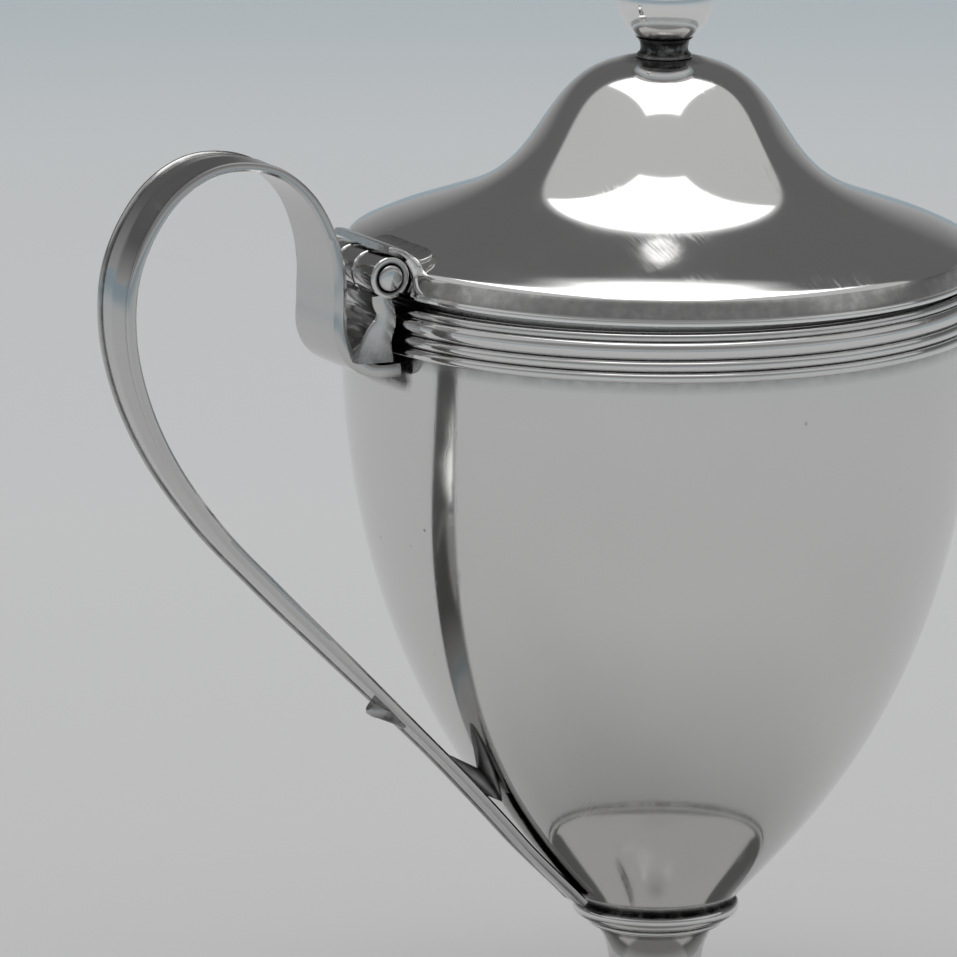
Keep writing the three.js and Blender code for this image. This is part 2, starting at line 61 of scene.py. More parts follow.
collar_low, collar_high = span("foot_collar")
AXIS = (collar_low[0] + collar_high[0]) / 2
Z_FOOT = collar_low[2]
Z_BOWL = collar_high[2]
Z_BAND = span("reeded_band")[0][2]
rim_low, rim_high = span("rim_wire")
Z_RIM = rim_high[2]
BOWL_R = span("bowl_body")[1][1]
pin_low, pin_high = span("hinge_pin")
PIN_X = (pin_low[0] + pin_high[0]) / 2 - AXIS
PIN_Z = (pin_low[2] + pin_high[2]) / 2
tube_low, tube_high = span("hinge_tube_near")
BARREL = -2 * tube_low[1]        # over the three hinge tubes
TUBE_R = (tube_high[2] - tube_low[2]) / 2
MIDDLE = span("hinge_tube_middle")[1][1] * 2
FOOT_R = span("foot_stem")[1][1]
wire_low, wire_high = span("foot_rim_wire")
LID_R = span("lid_dome")[1][1]
LID_TILT = math.radians(0.6)     # the shut lid leans a little about the hinge
LID_GAP = 0.85                   # from the rim to the lid, drawn level
LID_EDGE = 0.45                  # height of the lid's plain edge
Z_LID = Z_RIM + LID_GAP
Z_EDGE = Z_LID + LID_EDGE
LID_RISE = 19.9                  # from the edge to the top of the dome

RUN_GAP = 0.3                    # between what turns and what stands still
STUD_HOLE_R = 1.4                # the hole for the finial's stud
SEAT = 0.02                      # how far a soldered ring reaches into what carries it


def place(points):
    """Points in millimetres round the bowl's axis, as metres in the frame."""
    out = np.array(points, float).reshape(-1, 3) * MM
    out[:, 0] += AXIS * MM
    return out


def tip_lid(points):
    """The same, for what is drawn level and then tipped with the lid about the hinge."""
    p = np.array(points, float).reshape(-1, 3)
    x, z = p[:, 0] - PIN_X, p[:, 2] - PIN_Z
    c, s = math.cos(LID_TILT), math.sin(LID_TILT)
    return place(np.stack([PIN_X + x * c + z * s, p[:, 1], PIN_Z - x * s + z * c], 1))


# ---- Camera ----------------------------------------------------------------------------------------
VIEW_TURN = math.radians(28.5)      # the camera stands this far towards the handle
VIEW_RISE = math.radians(12.9)
VIEW_ROLL = math.radians(0.21)
VIEW_DISTANCE = 901
AIM_RIGHT = -17.64                  # what the camera aims at, from the axis and the band's lower edge
AIM_UP = -16.38
PIXELS_PER_MM = 10.229
FRAME_PIXELS = 957
SENSOR = 36

side = np.array([math.cos(VIEW_TURN), -math.sin(VIEW_TURN), 0])
away = np.array([math.sin(VIEW_TURN), math.cos(VIEW_TURN), 0])
up = np.array([0, 0, 1.0])
ahead = away * math.cos(VIEW_RISE) - up * math.sin(VIEW_RISE)
aim = side * AIM_RIGHT + up * (Z_BAND + AIM_UP)


def make_camera():
    data = bpy.data.cameras.new("camera")
    camera = bpy.data.objects.new("camera", data)
    bpy.context.scene.collection.objects.link(camera)
    data.sensor_width = SENSOR
    data.lens = SENSOR * PIXELS_PER_MM * VIEW_DISTANCE / FRAME_PIXELS
    data.clip_start = 0.05
    data.clip_end = 60
    rise = np.cross(side, ahead)
    right = side * math.cos(VIEW_ROLL) + rise * math.sin(VIEW_ROLL)
    top = rise * math.cos(VIEW_ROLL) - side * math.sin(VIEW_ROLL)
    turn = Matrix([[right[i], top[i], -ahead[i]] for i in range(3)]).to_4x4()
    spot = place([aim - ahead * VIEW_DISTANCE])[0]
    camera.matrix_world = Matrix.Translation(Vector(spot)) @ turn
    bpy.context.scene.camera = camera


# ---- Outlines --------------------------------------------------------------------------------------
def bezier(a, b, c, d, steps=24):
    t = np.linspace(0, 1, steps + 1)[:, None]
    a, b, c, d = (np.array(p, float) for p in (a, b, c, d))
    return (1 - t) ** 3 * a + 3 * (1 - t) ** 2 * t * b + 3 * (1 - t) * t ** 2 * c + t ** 3 * d


def join(*runs):
    """Several runs of points as one, without doubled points."""
    out = [np.array(runs[0], float).reshape(-1, 2)]
    for run in runs[1:]:
        run = np.array(run, float).reshape(-1, 2)
        if np.linalg.norm(run[0] - out[-1][-1]) < 1e-6:
            run = run[1:]
        out.append(run)
    return np.vstack(out)


def shift(points, distance):
    """The outline moved sideways, to the left of its direction."""
    along = np.gradient(points, axis=0)
    along /= np.linalg.norm(along, axis=1)[:, None]
    return points + np.stack([-along[:, 1], along[:, 0]], 1) * distance


def rounded(points, radius, steps=4, closed=False):
    """A polygon with each corner turned into a small curve."""
    p = np.array(points, float)
    count = len(p)
    out = []
    for i in range(count):
        if not closed and i in (0, count - 1):
            out.append(p[i])
            continue
        before, after = p[i - 1] - p[i], p[(i + 1) % count] - p[i]
        reach = min(radius, 0.45 * np.linalg.norm(before), 0.45 * np.linalg.norm(after))
        start = p[i] + before / np.linalg.norm(before) * reach
        end = p[i] + after / np.linalg.norm(after) * reach
        for t in np.linspace(0, 1, steps + 1):
            out.append((1 - t) ** 2 * start + 2 * (1 - t) * t * p[i] + t ** 2 * end)
    return np.array(out)


def reeds(inner, base, heights, rise, groove, steps=14):
    """Half-round mouldings, one above another, from the base up."""
    out = []
    level = base
    for height in heights:
        t = np.linspace(0.02, 0.98, steps) * math.pi
        out.append(np.stack([inner + groove + (rise - groove) * np.sin(t) ** 0.9,
                             level + height * (1 - np.cos(t)) / 2], 1))
        level += height
    return np.vstack(out)


# ---- Meshes ----------------------------------------------------------------------------------------
def build(name, vertices, faces, material, worn=None, crease=40):
    """A mesh object from vertices in metres. worn gives each vertex its share of tarnish, and of painted
    shade where a piece adds it.
    """
    mesh = bpy.data.meshes.new(name)
    mesh.from_pydata([tuple(v) for v in vertices], [], faces)
    mesh.validate()
    layer = mesh.attributes.new("tarnish_and_painted_shade", "FLOAT", "POINT")
    values = np.zeros(len(mesh.vertices)) if worn is None else np.array(worn, float)
    layer.data.foreach_set("value", values.astype(np.float32))
    mesh.materials.append(material)
    piece = bpy.data.objects.new(name, mesh)
    bpy.context.scene.collection.objects.link(piece)
    mesh.polygons.foreach_set("use_smooth", [True] * len(mesh.polygons))
    mesh.set_sharp_from_angle(angle=math.radians(crease))
    return piece


def groove_depth(points, reach):
    """How deep each outline point lies in a groove, from 0 to 1, below its highest near neighbour."""
    p = np.array(points, float)
    depth = np.zeros(len(p))
    for i in range(len(p)):
        near = np.linalg.norm(p - p[i], axis=1) < reach
        depth[i] = max(0.0, p[near][:, 0].max() - p[i][0]) / reach
    return np.clip(depth, 0, 1)


def lathe(name, outline, material, worn=None, sides=256, level=place, closed=False, crease=40):
    """A turned body: the outline is [radius, height] and goes round anticlockwise."""
    outline = np.array(outline, float)
    count = len(outline)
    angles = np.linspace(0, 2 * math.pi, sides, endpoint=False)
    vertices, index, share = [], [], []
    worn = np.zeros(count) if worn is None else worn
    for i, (radius, height) in enumerate(outline):
        if radius < 1e-6:
            index.append([len(vertices)] * sides)
            vertices.append((0, 0, height))
            share.append(worn[i])
        else:
            index.append(list(range(len(vertices), len(vertices) + sides)))
            vertices.extend((radius * math.cos(a), radius * math.sin(a), height) for a in angles)
            share.extend([worn[i]] * sides)
    faces = []
    for i in range(count if closed else count - 1):
        a, b = index[i], index[(i + 1) % count]
        for s in range(sides):
            t = (s + 1) % sides
            corners = [a[s], a[t], b[t], b[s]]
            corners = [c for k, c in enumerate(corners) if c != corners[k - 1]]
            if len(set(corners)) > 2:
                faces.append(corners)
    return build(name, level(vertices), faces, material, share, crease)


def loft(name, sections, material, worn=None, level=place, crease=40):
    """A body through sections of equal length; each section is a closed loop of points."""
    corners = len(sections[0])
    last = len(sections) - 1
    faces = []
    for s in range(last):
        for c in range(corners):
            d = (c + 1) % corners
            faces.append([s * corners + c, s * corners + d, (s + 1) * corners + d, (s + 1) * corners + c])
    faces.append(list(range(corners))[::-1])
    faces.append([last * corners + c for c in range(corners)])
    flat = np.array(sections, float).reshape(-1, 3)
    piece = build(name, level(flat), faces, material, worn, crease)
    outward(piece)
    return piece


def outward(piece):
    """Turns the faces of a closed mesh outwards."""
    work = bmesh.new()
    work.from_mesh(piece.data)
    bmesh.ops.recalc_face_normals(work, faces=work.faces)
    work.to_mesh(piece.data)
    work.free()


def settle(piece, body, slot, *nodes):
    """Rides on a body and stands for CAD nodes; slot is not used."""
    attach(piece, body)
    if nodes:
        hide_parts(*nodes)
    return piece


# ---- Materials -------------------------------------------------------------------------------------
def link(tree, a, b):
    tree.links.new(a, b)


def noise(tree, vector, scale, detail=3, rough=0.55):
    node = tree.nodes.new("ShaderNodeTexNoise")
    node.inputs["Scale"].default_value = scale
    node.inputs["Detail"].default_value = detail
    node.inputs["Roughness"].default_value = rough
    link(tree, vector, node.inputs["Vector"])
    return node.outputs["Fac"]


def ramp(tree, value, low, high, start=0.0, end=1.0):
    node = tree.nodes.new("ShaderNodeMapRange")
    node.clamp = True
    node.inputs["From Min"].default_value = low
    node.inputs["From Max"].default_value = high
    node.inputs["To Min"].default_value = start
    node.inputs["To Max"].default_value = end
    link(tree, value, node.inputs["Value"])
    return node.outputs["Result"]


def maths(tree, kind, a, b):
    node = tree.nodes.new("ShaderNodeMath")
    node.operation = kind
    for socket, value in zip(node.inputs, (a, b)):
        if isinstance(value, (int, float)):
            socket.default_value = value
        else:
            link(tree, value, socket)
    return node.outputs["Value"]


def stretched(tree, vector, turn, scale):
    node = tree.nodes.new("ShaderNodeMapping")
    node.inputs["Rotation"].default_value = turn
    node.inputs["Scale"].default_value = scale
    link(tree, vector, node.inputs["Vector"])
    return node.outputs["Vector"]


def scratches(tree, vector, turn, fine, width):
    """Thin lines: a long narrow noise, kept only near its middle value."""
    lines = noise(tree, stretched(tree, vector, turn, (fine, fine * 0.035, fine * 0.05)), 1.0, 2)
    near = maths(tree, "ABSOLUTE", maths(tree, "SUBTRACT", lines, 0.5), 0)
    thin = ramp(tree, near, 0.0, width, 1.0, 0.0)
    patch = ramp(tree, noise(tree, vector, 110, 2), 0.52, 0.7)
    return maths(tree, "MULTIPLY", thin, patch)


def silver(name, light=0.86, rough=0.05, scratch=0.5, pits=0.5, dark=0.12, spread=0.5, wave=0.3):
    """Polished silver: fine scratches, pits, and tarnish where the mesh says and in faint clouds; the
    mesh's mark also carries painted shade under the strap's foot and a painted reflection on the lid's rim.
    """
    material = bpy.data.materials.new(name)
    material.use_nodes = True
    tree = material.node_tree
    shader = tree.nodes["Principled BSDF"]
    shader.inputs["Metallic"].default_value = 1.0
    where = tree.nodes.new("ShaderNodeTexCoord").outputs["Object"]
    mark = tree.nodes.new("ShaderNodeAttribute")
    mark.attribute_name = "tarnish_and_painted_shade"
    cloud = ramp(tree, noise(tree, where, 90, 5), 0.35, 0.75)
    speck = noise(tree, where, 900, 3)
    ragged = maths(tree, "MULTIPLY", mark.outputs["Fac"], ramp(tree, speck, 0.25, 0.6, 0.65, 1.15))
    thin_lines = maths(tree, "MAXIMUM",
                       scratches(tree, where, (0.3, 0.5, 0.2), 1500, 0.02),
                       scratches(tree, where, (1.2, 0.2, 1.9), 1900, 0.016))
    cells = tree.nodes.new("ShaderNodeTexVoronoi")
    cells.inputs["Scale"].default_value = 330
    link(tree, where, cells.inputs["Vector"])
    dots = ramp(tree, cells.outputs["Distance"], 0.03, 0.09, 1.0, 0.0)
    rare = tree.nodes.new("ShaderNodeSeparateColor")
    link(tree, cells.outputs["Color"], rare.inputs["Color"])
    dots = maths(tree, "MULTIPLY", dots, ramp(tree, rare.outputs["Red"], 0.93, 0.97))

    # Darkening from tarnish, pits and clouds, and from the painted shade and reflection written into the
    # same mark.
    stain_and_painted_shade = maths(tree, "ADD", ragged, maths(tree, "MULTIPLY", cloud, 0.05 * spread))
    stain_and_painted_shade = maths(tree, "ADD", stain_and_painted_shade, maths(tree, "MULTIPLY", dots, 0.5 * pits))
    colour = tree.nodes.new("ShaderNodeMix")
    colour.data_type = "RGBA"
    colour.inputs["A"].default_value = (light, light * 0.995, light * 0.985, 1)
    colour.inputs["B"].default_value = (dark, dark * 0.98, dark * 0.95, 1)
    link(tree, ramp(tree, stain_and_painted_shade, 0, 1), colour.inputs["Factor"])
    link(tree, colour.outputs["Result"], shader.inputs["Base Color"])

    shine = maths(tree, "ADD", ramp(tree, cloud, 0, 1, rough * 0.8, rough * 1.5),
                  maths(tree, "MULTIPLY", stain_and_painted_shade, 0.28))
    shine = maths(tree, "ADD", shine, maths(tree, "MULTIPLY", thin_lines, 0.16 * scratch))
    link(tree, shine, shader.inputs["Roughness"])

    height = maths(tree, "SUBTRACT", maths(tree, "MULTIPLY", noise(tree, where, 55, 1), wave),
                   maths(tree, "MULTIPLY", thin_lines, 0.012 * scratch))
    height = maths(tree, "SUBTRACT", height, maths(tree, "MULTIPLY", dots, 0.05 * pits))
    height = maths(tree, "ADD", height, maths(tree, "MULTIPLY", speck, 0.006 * scratch))
    bump = tree.nodes.new("ShaderNodeBump")
    bump.inputs["Strength"].default_value = 1.0
    bump.inputs["Distance"].default_value = 0.0006
    link(tree, height, bump.inputs["Height"])
    link(tree, bump.outputs["Normal"], shader.inputs["Normal"])
    return material


body_silver = silver("body_silver", light=0.73, rough=0.075, wave=0.12, scratch=0.5, pits=0.8)
lid_silver = silver("lid_silver", light=0.86, rough=0.075, wave=0.08, scratch=0.3, pits=0.5)
reed_silver = silver("reed_silver", light=0.78, rough=0.06, wave=0.1, dark=0.04)
handle_silver = silver("handle_silver", light=0.62, rough=0.09, wave=0.15, dark=0.07)
hinge_silver = silver("hinge_silver", light=0.72, rough=0.10, wave=0.2, spread=1.6, dark=0.03)
inner_silver = silver("inner_silver", light=0.78, rough=0.22, wave=0.2, spread=1.5)
solder_silver = silver("solder_silver", light=0.5, rough=0.3, wave=0.4, spread=2.0, dark=0.03)

# ---- Bowl and band ---------------------------------------------------------------------------------
WALL = 0.9
BOWL_FLOOR = 1.5                 # from the joint with the collar up to the bowl's inside
JOINT_R = 7.6                    # of the bowl's lower end, on the collar


def fall(share):
    """The height at a share of the way from the band down to the collar."""
    return Z_BAND + (Z_BOWL - Z_BAND) * share


# The pulls of the bowl's side, one curve from the band to the collar.
BOWL_PULLS = ((BOWL_R, Z_BAND), (BOWL_R, fall(0.6495)), (JOINT_R + 4.3, fall(0.908)), (JOINT_R, Z_BOWL))
bowl_side = bezier(*BOWL_PULLS, 90)


def make_bowl():
    inside = shift(bowl_side, -WALL)
    inside = inside[inside[:, 1] > Z_BOWL + BOWL_FLOOR]
    lip = rounded([(BOWL_R, Z_BAND), (BOWL_R, Z_RIM), (BOWL_R - WALL, Z_RIM),
                   (BOWL_R - WALL, Z_BAND - 1)], 0.25)
    outline = join([(0, Z_BOWL)], bowl_side[::-1], lip[1:-1], inside, [(0, Z_BOWL + BOWL_FLOOR - 0.1)])
    worn = np.zeros(len(outline))
    outside = np.arange(len(outline)) <= len(bowl_side)
    low = np.clip((Z_BOWL + 1.3 - outline[:, 1]) / 1.3, 0, 1)
    high = np.clip((outline[:, 1] - Z_BAND + 0.5) / 0.5, 0, 1)
    worn[outside] = np.maximum(low * 0.9, high * 0.45)[outside]
    piece = lathe("bowl_shell", outline, body_silver, worn, 320)
    # Painted shadow under the strap's foot.
    paint_strap_foot_shadow(piece)
    settle(piece, "vessel", "polished_silver", "bowl_body")


def paint_strap_foot_shadow(piece):
    """Painted shadow, with old solder, on the bowl under and beside the strap's foot, written into the
    tarnish mark.
    """
    layer = piece.data.attributes["tarnish_and_painted_shade"].data
    for vertex, mark in zip(piece.data.vertices, layer):
        x, y, z = vertex.co / MM
        if x - AXIS > -20 or z > Z_BAND:
            continue
        below = (Z_BAND - 2.15) - z
        reach = 1 - abs(below) / (0.75 if below > 0 else 1.6)
        mark.value = max(mark.value, min(1, 2.2 * reach) * min(1, max(0, (6.0 - abs(y)) / 1.2)))


REED_HEIGHTS = (1.1, 1.15, 1.75)  # from the lowest reed up
REED_RISE = 0.9                  # how far the reeds and their grooves stand out from the bowl
GROOVE_RISE = 0.22


def make_band():
    outer = reeds(BOWL_R, Z_BAND, REED_HEIGHTS, REED_RISE, GROOVE_RISE)
    outline = join([(BOWL_R - SEAT, Z_BAND)], outer, [(BOWL_R - SEAT, Z_BAND + sum(REED_HEIGHTS))])
    worn = groove_depth(outline, 0.75) ** 2.6 * 0.8
    piece = lathe("reeded_band_turned", outline, reed_silver, worn, 320, closed=True)
    settle(piece, "vessel", "reeded_silver", "reeded_band")
    base = rim_low[2]
    wire = rounded([(BOWL_R - SEAT, base), (BOWL_R + 0.45, base + 0.02), (BOWL_R + 0.6, base + 0.38),
                    (BOWL_R + 0.42, Z_RIM), (BOWL_R - SEAT, Z_RIM)], 0.2, closed=True)
    piece = lathe("rim_wire_turned", wire, reed_silver, np.full(len(wire), 0.12), 320, closed=True)
    settle(piece, "vessel", "reeded_silver", "rim_wire")


# ---- Foot ------------------------------------------------------------------------------------------
FOOT_WALL = 1.3
FOOT_STEP = 2.5                  # the rounded step at the foot's edge
FOOT_SLOPE = 3.2                 # fall of the spreading upper side over half its width
STEM_R = 6.1                     # of the stem's top and its waist
WAIST_R = 4.6
STEM_LENGTH = 4.2                # from the collar down to the waist


def make_collar():
    """The turned collar: a bead, a hollow and a half-round moulding under the bowl."""
    top = Z_BOWL
    bead, hollow, shoulder = (6.55, Z_FOOT + 0.55), (7.3, Z_FOOT + 0.85), (7.75, top - 0.12)
    collar = join([(0, Z_FOOT), (6.2, Z_FOOT)],
                  bezier((6.2, Z_FOOT), (6.9, Z_FOOT), (6.95, Z_FOOT + 0.5), bead, 10),
                  bezier(bead, (6.5, Z_FOOT + 0.75), (6.8, Z_FOOT + 0.7), hollow, 10),
                  bezier(hollow, (8.45, Z_FOOT + 1.1), (8.5, top - 0.25), shoulder, 24),
                  bezier(shoulder, (7.65, top - 0.1), (7.6, top - 0.05), (7.55, top), 8),
                  [(0, top)])
    worn = np.clip((collar[:, 1] - (top - 0.34)) / 0.2, 0, 1) * 0.95
    worn[(collar[:, 1] > Z_FOOT + 0.5) & (collar[:, 1] < Z_FOOT + 0.74)] = 0.55
    piece = lathe("foot_collar_turned", collar, reed_silver, worn)
    settle(piece, "vessel", "reeded_silver", "foot_collar")


def make_foot():
    """The stem and the spreading foot, hollow below, and the wire round its edge."""
    waist = Z_FOOT - STEM_LENGTH
    skirt = wire_high[2]
    step = FOOT_R - FOOT_STEP
    ledge = (step, skirt + FOOT_STEP)
    outside = join(
        bezier((STEM_R, Z_FOOT), (STEM_R - 0.9, Z_FOOT - 1.0),
               (WAIST_R, waist + 1.6), (WAIST_R, waist), 16),
        bezier((WAIST_R, waist), (WAIST_R, waist - 1.7),
               (step / 2, skirt + FOOT_STEP + FOOT_SLOPE), ledge, 40),
        bezier(ledge, (step + FOOT_STEP / 2, skirt + FOOT_STEP - 0.2),
               (FOOT_R, skirt + FOOT_STEP / 2), (FOOT_R, skirt), 16))
    inside = shift(outside, -FOOT_WALL)
    roof = Z_FOOT - 2 * FOOT_WALL
    inside = inside[(inside[:, 1] < roof) & (inside[:, 0] < FOOT_R - FOOT_WALL - 0.1)]
    edge = rounded([(FOOT_R - FOOT_WALL, skirt), (FOOT_R - FOOT_WALL, 0),
                    (FOOT_R, 0), (FOOT_R, skirt)], 0.2)
    outline = join([(0, roof)], inside, edge, outside[::-1], [(0, Z_FOOT)])
    worn = np.where(outline[:, 1] > Z_FOOT - 0.5, 0.5, 0.0)
    settle(lathe("foot_turned", outline, body_silver, worn), "vessel", "polished_silver", "foot_stem")

    base = wire_low[2]
    half = (skirt - base) / 2
    ring = join([(FOOT_R - SEAT, base)], reeds(FOOT_R, base, (half, half), 1.1, 0.25),
                [(FOOT_R - SEAT, skirt)])
    worn = groove_depth(ring, 0.9) ** 1.6
    piece = lathe("foot_wire_turned", ring, reed_silver, worn, closed=True)
    settle(piece, "vessel", "reeded_silver", "foot_rim_wire")


# ---- Handle ----------------------------------------------------------------------------------------
# The strap's middle line, as [reach from the bowl's mouth, rise above the band's lower edge].
LOOP = ((0.3, -1.3), (2.7, -1.3), (4.9, -0.1), (6.05, 2), (6.1, 5.1), (6.15, 8.5), (6.95, 12), (8.8, 15.6),
        (11.8, 18.3), (15.35, 19.4), (19.15, 19.2), (22.85, 17.2), (25.7, 13.7), (27.45, 9.4), (27.75, 4),
        (26.45, -2.1), (23.5, -8.6))
# Below the loop it runs almost straight to the tail: [share of the way, bow].
LEG = ((0.18, 1.5), (0.35, 1.4), (0.52, 0.9), (0.69, 0.4), (0.85, 0))
# The tail lies along the bowl, at these places on its curve.
TAIL = (0.613, 0.699, 0.785, 0.871, 0.9355)
# How wide and how thick the strap is, as [share of its length, size].
WIDTHS = ((0, 10.6), (0.03, 8.8), (0.08, 8.3), (0.19, 6.8), (0.45, 6.8), (0.63, 6.4), (0.84, 4.9), (1, 4.2))
THICKNESSES = ((0, 1.35), (0.08, 1.35), (0.19, 0.95), (0.44, 1.0), (0.63, 1.25), (0.84, 0.9), (1, 0.8))


def size_at(stations, share):
    """A size that eases from one station to the next."""
    for (a, low), (b, high) in zip(stations, stations[1:]):
        if share <= b:
            t = (share - a) / (b - a)
            return low + (high - low) * t * t * (3 - 2 * t)
    return stations[-1][1]


def off_bowl(share, distance):
    """A point off the bowl's side on the handle's side, as [x, z]; share is the curve's parameter."""
    fine = bezier(*BOWL_PULLS, 1000)
    i = int(round(share * 1000))
    along = fine[min(i + 1, 1000)] - fine[max(i - 1, 0)]
    along /= np.linalg.norm(along)
    return np.array([-(fine[i][0] - along[1] * distance), fine[i][1] + along[0] * distance])


def centripetal(points, steps=40):
    """A smooth curve through the points, spaced evenly along its length."""
    p = np.array(points, float)
    p = np.vstack([2 * p[0] - p[1], p, 2 * p[-1] - p[-2]])
    out = []
    for i in range(1, len(p) - 2):
        q = p[i - 1:i + 3]
        t = np.concatenate([[0], np.cumsum(np.linalg.norm(np.diff(q, axis=0), axis=1) ** 0.5)])
        for u in np.linspace(t[1], t[2], steps, endpoint=False):
            a = [((t[k + 1] - u) * q[k] + (u - t[k]) * q[k + 1]) / (t[k + 1] - t[k]) for k in range(3)]
            b = [((t[k + 2] - u) * a[k] + (u - t[k]) * a[k + 1]) / (t[k + 2] - t[k]) for k in range(2)]
            out.append(((t[2] - u) * b[0] + (u - t[1]) * b[1]) / (t[2] - t[1]))
    out.append(p[-2])
    out = np.array(out)
    run = np.concatenate([[0], np.cumsum(np.linalg.norm(np.diff(out, axis=0), axis=1))])
    even = np.linspace(0, run[-1], 420)
    return np.stack([np.interp(even, run, out[:, k]) for k in range(2)], 1)


def handle_line():
    """The strap's middle line as [x, z], from its foot at the band to the end of its tail."""
    loop = [np.array([-(BOWL_R + reach), Z_BAND + rise]) for reach, rise in LOOP]
    tail = []
    for i, share in enumerate(TAIL):
        lift = 0.8 * (1 - i / (len(TAIL) - 1)) ** 2
        tail.append(off_bowl(share, 0.12 + THICKNESSES[-1][1] / 2 + lift))
    leg = []
    for share, bow in LEG:
        point = loop[-1] + (tail[0] - loop[-1]) * share
        leg.append(point - np.array([bow, 0]))
    return centripetal(loop + leg + tail)


handle = handle_line()
along_handle = np.gradient(handle, axis=0)
along_handle /= np.linalg.norm(along_handle, axis=1)[:, None]
out_of_handle = np.stack([along_handle[:, 1], -along_handle[:, 0]], 1)  # away from the bowl


def strap_section(width, thick, thread):
    """Across the strap: y, out from its middle, tarnish. A raised thread runs along each outer edge."""
    w, t = width / 2, thick / 2
    edge = 0.42 * thread
    points = [(-w, -t * 0.5, 0), (-w + 0.25, -t, 0)]
    points += [(y, -t - 0.03 * (1 - (y / w) ** 2), 0) for y in np.linspace(-w + 0.6, w - 0.6, 9)]
    points += [(w - 0.25, -t, 0), (w, -t * 0.5, 0), (w, t * 0.55, 0.05)]
    points += [(w - 0.12, t * 0.92, 0), (w - 0.3, t, 0), (w - 0.5, t * 0.93, 0.1)]
    points += [(w - 0.72, t - edge * 0.55, 0.75), (w - 1.0, t - edge * 0.5, 0.2)]
    inner = np.linspace(w - 1.3, -w + 1.3, 13)
    points += [(y, t - edge * 0.45 + 0.22 * thread * (1 - abs(y) / (w - 1.2)), 0.04) for y in inner]
    points += [(-w + 1.0, t - edge * 0.5, 0.2), (-w + 0.72, t - edge * 0.55, 0.75)]
    points += [(-w + 0.5, t * 0.93, 0.1), (-w + 0.3, t, 0), (-w + 0.12, t * 0.92, 0), (-w, t * 0.55, 0.05)]
    return points


def make_strap():
    sections, worn = [], []
    last = len(handle) - 1
    for i, (x, z) in enumerate(handle):
        share = i / last
        thread = max(0.15, min(1, share / 0.05, (1 - share) / 0.12))
        section = strap_section(size_at(WIDTHS, share), size_at(THICKNESSES, share), thread)
        ends = max(0, 1 - share / 0.015) * 0.5 + max(0, (share - 0.85) / 0.15) * 0.12
        out_x, out_z = out_of_handle[i]
        sections.append([(x + out_x * o, y, z + out_z * o) for y, o, _ in section])
        worn.extend(min(1, mark + ends) for _, _, mark in section)
    piece = loft("handle_strap_drawn", sections, handle_silver, worn)
    settle(piece, "vessel", "handle_silver", "handle_strap")


def clump(name, rings, material, body, slot, node):
    """A closed body through round rings: centre, half width, depth below and above it, lean, tarnish."""
    sections, marks = [], []
    for centre, half_width, low, high, lean, mark in rings:
        ring = []
        for t in np.linspace(0, 2 * math.pi, 20, endpoint=False):
            y = half_width * math.copysign(abs(math.cos(t)) ** 0.8, math.cos(t))
            o = (high if math.sin(t) > 0 else low) * math.copysign(abs(math.sin(t)) ** 0.8, math.sin(t))
            ring.append((centre[0] + lean[0] * o, y, centre[1] + lean[1] * o))
        sections.append(ring)
        marks.extend([mark] * 20)
    piece = loft(name, sections, material, marks)
    return settle(piece, body, slot, node)


def make_spur_and_web():
    """The pointed spur on the strap's outer face, and the web between the strap and the bowl."""
    last = len(handle) - 1
    spur = int(0.776 * last)
    rings = []
    for step, rise, half, mark in ((-7, 1.55, 0.6, 0.2), (-6, 1.75, 0.95, 0.25), (-4, 1.65, 1.2, 0.4),
                                   (-2, 1.35, 1.3, 0.7), (0, 1.1, 1.3, 0.8), (3, 0.75, 1.2, 0.6),
                                   (6, 0.55, 0.9, 0.3)):
        i = spur + step
        thick = size_at(THICKNESSES, i / last) / 2
        centre = handle[i] + out_of_handle[i] * (thick - 0.25)
        rings.append((centre, half, 0.15, rise - 0.1, out_of_handle[i], mark))
    clump("handle_spur_filed", rings, handle_silver, "vessel", "handle_silver", "handle_spur")

    rings = []
    for share, place_on_bowl, half in ((0.825, 0.535, 0.6), (0.832, 0.545, 0.95), (0.842, 0.56, 1.2),
                                       (0.853, 0.577, 1.25), (0.864, 0.592, 1.1), (0.874, 0.607, 0.8)):
        i = int(share * last)
        inner = handle[i] - out_of_handle[i] * (size_at(THICKNESSES, share) / 2 - 0.12)
        lean = off_bowl(place_on_bowl, -0.15) - inner
        reach = np.linalg.norm(lean)
        lean /= reach
        rings.append((inner + lean * reach / 2, half, reach / 2, reach / 2, lean, 0.35))
    clump("handle_web_filled", rings, solder_silver, "vessel", "solder", "handle_web")


# ---- Hinge -----------------------------------------------------------------------------------------
BORE_R = 1.36                    # of the hinge tubes
PIN_R = 1.29
TUBE_GAP = 0.15                  # between one tube and the next
PLATE = 0.62                     # thickness of the hood and the plate on the lid


def bar(name, outline, body, node, worn, level=place, closed=True):
    """A piece turned round the hinge's pin; the outline is [radius, y]."""
    def lay(points):
        p = np.array(points, float).reshape(-1, 3)
        return level(np.stack([PIN_X + p[:, 0], p[:, 2], PIN_Z - p[:, 1]], 1))
    piece = lathe(name, outline, hinge_silver, worn, 64, lay, closed)
    outward(piece)
    return settle(piece, body, "hinge_silver", node)


def knuckle(name, low, high, body, level):
    """One hinge tube, worn at its ends and round its bore."""
    outline = rounded([(BORE_R, low), (TUBE_R, low), (TUBE_R, high), (BORE_R, high)], 0.28, closed=True)
    worn = np.clip((1.75 - outline[:, 0]) / 0.3, 0, 1) * 0.8
    worn = np.maximum(worn, np.where((outline[:, 1] > low + 0.6) & (outline[:, 1] < high - 0.6), 0.25, 0.0))
    bar(name + "_turned", outline, body, name, worn, level)


